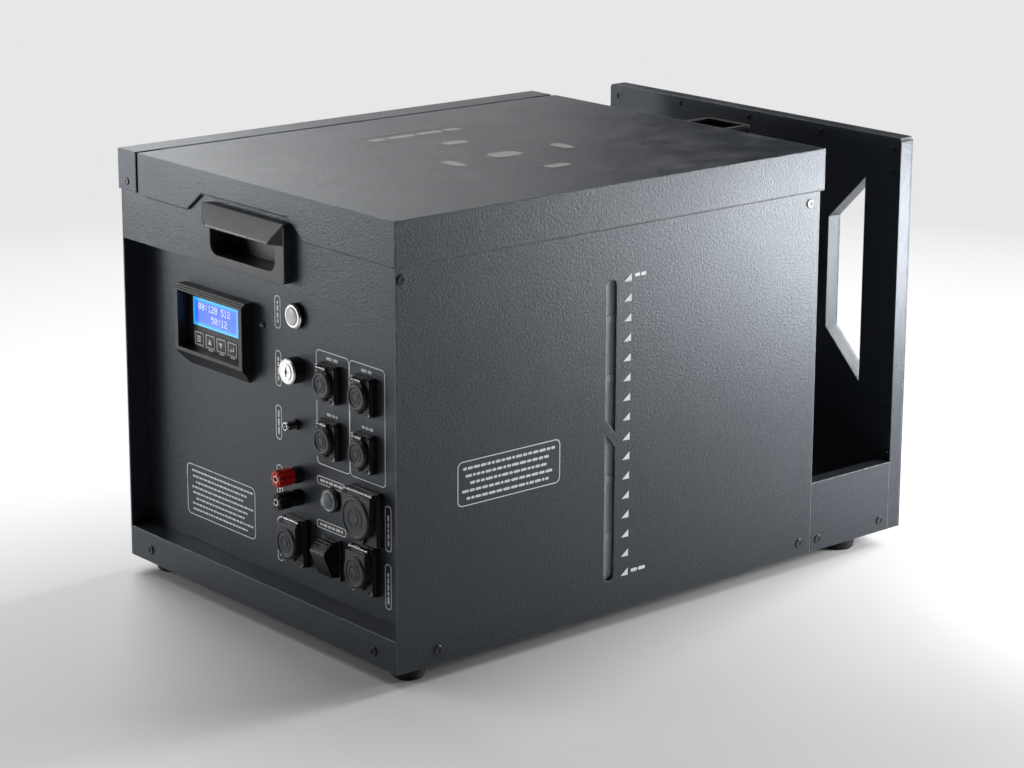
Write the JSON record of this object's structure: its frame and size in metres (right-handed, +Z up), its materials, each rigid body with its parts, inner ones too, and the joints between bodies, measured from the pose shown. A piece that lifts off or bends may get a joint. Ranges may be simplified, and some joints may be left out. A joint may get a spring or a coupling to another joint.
{
  "type": "stage flame machine",
  "caption": "Sheet-steel stage flame machine: hinged lid, recessed control panel with capped sockets, fuel tank and a swinging nozzle hood in an open bay.",
  "frame": {"origin": "on the floor under the middle of the feet's box, midway between the handle lip and the guard's outer face", "axes": "+X to the right seen from the front, +Y from the control panel to the guard, +Z up"},
  "size_m": [0.375, 0.578, 0.3671],
  "materials": {
    "case_paint": "fine textured charcoal powder coat",
    "handle_plastic": "satin moulded plastic",
    "foot_rubber": "matt rubber",
    "screw_black": "blackened steel",
    "bezel_black": "fine grained black plastic",
    "display_blue": "backlit blue liquid crystal window",
    "key_black": "membrane keys",
    "chrome_ring": "polished",
    "white_plastic": "gloss white",
    "nickel": "satin nickel",
    "brass_gold": "gold plated",
    "lamp_lens": "smoked lens",
    "red_plastic": "gloss red",
    "black_plastic": "gloss black",
    "clear_boot": "clear silicone",
    "socket_black": "black zinc casting",
    "cap_black": "satin black cap",
    "tank_plastic": "translucent polyethylene",
    "zinc_steel": "zinc plated",
    "valve_brass": "machined brass",
    "hose_rubber": "fuel hose",
    "supply_case": "folded mill finish",
    "board_green": "solder resist",
    "coil_resin": "potted resin",
    "motor_black": "black motor",
    "machined_alu": "machined",
    "shaft_steel": "ground shaft",
    "bearing_iron": "painted bearing housing",
    "hood_steel": "heat darkened steel",
    "ceramic": "glazed ceramic"
  },
  "bodies": {
    "chassis": {"base_tray": "case_paint", "side_panel_right": "case_paint", "side_panel_left": "case_paint", "front_band": "case_paint", "control_panel": "case_paint", "rear_bulkhead": "case_paint", "bay_side_plates": "case_paint", "guard_pan": "case_paint", "guard_back": "case_paint", "hinge_cover": "case_paint", "front_handle": "handle_plastic", "rubber_feet": "foot_rubber", "case_screws": "screw_black", "display_bezel": "bezel_black", "display_module": "bezel_black", "display_glass": "display_blue", "start_button_ring": "chrome_ring", "key_switch_body": "nickel", "aerial_socket": "brass_gold", "status_lamp": "lamp_lens", "binding_posts": "brass_gold", "breaker_body": "nickel", "breaker_boot": "clear_boot", "rocker_frame": "black_plastic", "data_sockets": "socket_black", "power_sockets": "socket_black", "fuel_tank": "tank_plastic", "fuel_pump": "zinc_steel", "fuel_valve": "valve_brass", "fuel_lines": "hose_rubber", "power_supply": "supply_case", "control_board": "board_green", "ignition_coil": "coil_resin", "swing_motor": "motor_black", "swing_belt": "hose_rubber", "shaft_bearings": "bearing_iron"},
    "lid_body": {"lid": "case_paint"},
    "menu_key_1_body": {"menu_key_1": "key_black"},
    "menu_key_2_body": {"menu_key_2": "key_black"},
    "menu_key_3_body": {"menu_key_3": "key_black"},
    "menu_key_4_body": {"menu_key_4": "key_black"},
    "start_cap_body": {"start_button_cap": "white_plastic"},
    "key_body": {"key_barrel": "chrome_ring"},
    "red_nut_body": {"post_nut_red": "red_plastic"},
    "black_nut_body": {"post_nut_black": "black_plastic"},
    "reset_body": {"breaker_button": "white_plastic"},
    "rocker_body": {"power_rocker": "black_plastic"},
    "data_cap_1_body": {"data_cap_1": "cap_black"},
    "data_cap_2_body": {"data_cap_2": "cap_black"},
    "data_cap_3_body": {"data_cap_3": "cap_black"},
    "data_cap_4_body": {"data_cap_4": "cap_black"},
    "power_cap_1_body": {"power_cap_1": "cap_black"},
    "power_cap_2_body": {"power_cap_2": "cap_black"},
    "power_cap_3_body": {"power_cap_3": "cap_black"},
    "tank_cap_body": {"tank_cap": "red_plastic"},
    "motor_body": {"motor_pulley": "machined_alu"},
    "swing_head": {"swing_shaft": "shaft_steel", "nozzle_hood": "hood_steel", "nozzle_block": "valve_brass", "spark_electrodes": "ceramic"}
  },
  "joints": [
    {"name": "lid_hinge", "type": "hinge", "parent": "chassis", "child": "lid_body", "pos_m": [-0.15725, -0.05, 0.3655], "axis": [0, -1, 0], "range_deg": [0, 100]},
    {"name": "nozzle_swing", "type": "hinge", "parent": "chassis", "child": "swing_head", "pos_m": [0, 0.2245, 0.213], "axis": [0, 1, 0], "range_deg": [-105, 105]},
    {"name": "motor_spin", "type": "hinge", "parent": "chassis", "child": "motor_body", "pos_m": [0, 0.153, 0.125], "axis": [0, 1, 0], "range_deg": [-320, 320]},
    {"name": "key_turn", "type": "hinge", "parent": "chassis", "child": "key_body", "pos_m": [0.031, -0.2615, 0.218], "axis": [0, 1, 0], "range_deg": [0, 90]},
    {"name": "start_press", "type": "slide", "parent": "chassis", "child": "start_cap_body", "axis": [0, 1, 0], "range_m": [0, 0.002], "stiffness_N_per_m": 200, "springref_m": -0.002},
    {"name": "menu_press_1", "type": "slide", "parent": "chassis", "child": "menu_key_1_body", "axis": [0, 1, 0], "range_m": [0, 0.0008], "stiffness_N_per_m": 300, "springref_m": -0.0008},
    {"name": "menu_press_2", "type": "slide", "parent": "chassis", "child": "menu_key_2_body", "axis": [0, 1, 0], "range_m": [0, 0.0008], "stiffness_N_per_m": 300, "springref_m": -0.0008},
    {"name": "menu_press_3", "type": "slide", "parent": "chassis", "child": "menu_key_3_body", "axis": [0, 1, 0], "range_m": [0, 0.0008], "stiffness_N_per_m": 300, "springref_m": -0.0008},
    {"name": "menu_press_4", "type": "slide", "parent": "chassis", "child": "menu_key_4_body", "axis": [0, 1, 0], "range_m": [0, 0.0008], "stiffness_N_per_m": 300, "springref_m": -0.0008},
    {"name": "rocker_switch", "type": "hinge", "parent": "chassis", "child": "rocker_body", "pos_m": [0.0755, -0.2565, 0.0735], "axis": [1, 0, 0], "range_deg": [0, 18]},
    {"name": "reset_pop", "type": "slide", "parent": "chassis", "child": "reset_body", "axis": [0, -1, 0], "range_m": [0, 0.003]},
    {"name": "data_cap_1_lift", "type": "hinge", "parent": "chassis", "child": "data_cap_1_body", "pos_m": [0.0755, -0.2625, 0.23], "axis": [-1, 0, 0], "range_deg": [0, 115]},
    {"name": "data_cap_2_lift", "type": "hinge", "parent": "chassis", "child": "data_cap_2_body", "pos_m": [0.1205, -0.2625, 0.23], "axis": [-1, 0, 0], "range_deg": [0, 115]},
    {"name": "data_cap_3_lift", "type": "hinge", "parent": "chassis", "child": "data_cap_3_body", "pos_m": [0.0755, -0.2625, 0.1845], "axis": [-1, 0, 0], "range_deg": [0, 115]},
    {"name": "data_cap_4_lift", "type": "hinge", "parent": "chassis", "child": "data_cap_4_body", "pos_m": [0.1205, -0.2625, 0.1845], "axis": [-1, 0, 0], "range_deg": [0, 115]},
    {"name": "power_cap_1_lift", "type": "hinge", "parent": "chassis", "child": "power_cap_1_body", "pos_m": [0.031, -0.2625, 0.095], "axis": [-1, 0, 0], "range_deg": [0, 100]},
    {"name": "power_cap_2_lift", "type": "hinge", "parent": "chassis", "child": "power_cap_2_body", "pos_m": [0.1215, -0.2625, 0.095], "axis": [-1, 0, 0], "range_deg": [0, 100]},
    {"name": "power_cap_3_lift", "type": "hinge", "parent": "chassis", "child": "power_cap_3_body", "pos_m": [0.1215, -0.2625, 0.1405], "axis": [-1, 0, 0], "range_deg": [0, 100]},
    {"name": "red_nut_turn", "type": "hinge", "parent": "chassis", "child": "red_nut_body", "pos_m": [0.031, -0.2685, 0.132], "axis": [0, 1, 0], "continuous": true},
    {"name": "black_nut_turn", "type": "hinge", "parent": "chassis", "child": "black_nut_body", "pos_m": [0.031, -0.2685, 0.113], "axis": [0, 1, 0], "continuous": true},
    {"name": "tank_cap_turn", "type": "hinge", "parent": "chassis", "child": "tank_cap_body", "pos_m": [0.143, -0.097, 0.3165], "axis": [0, 0, 1], "continuous": true}
  ],
  "couplings": [
    {"joint": "motor_spin", "follows": "nozzle_swing", "ratio": 3}
  ]
}
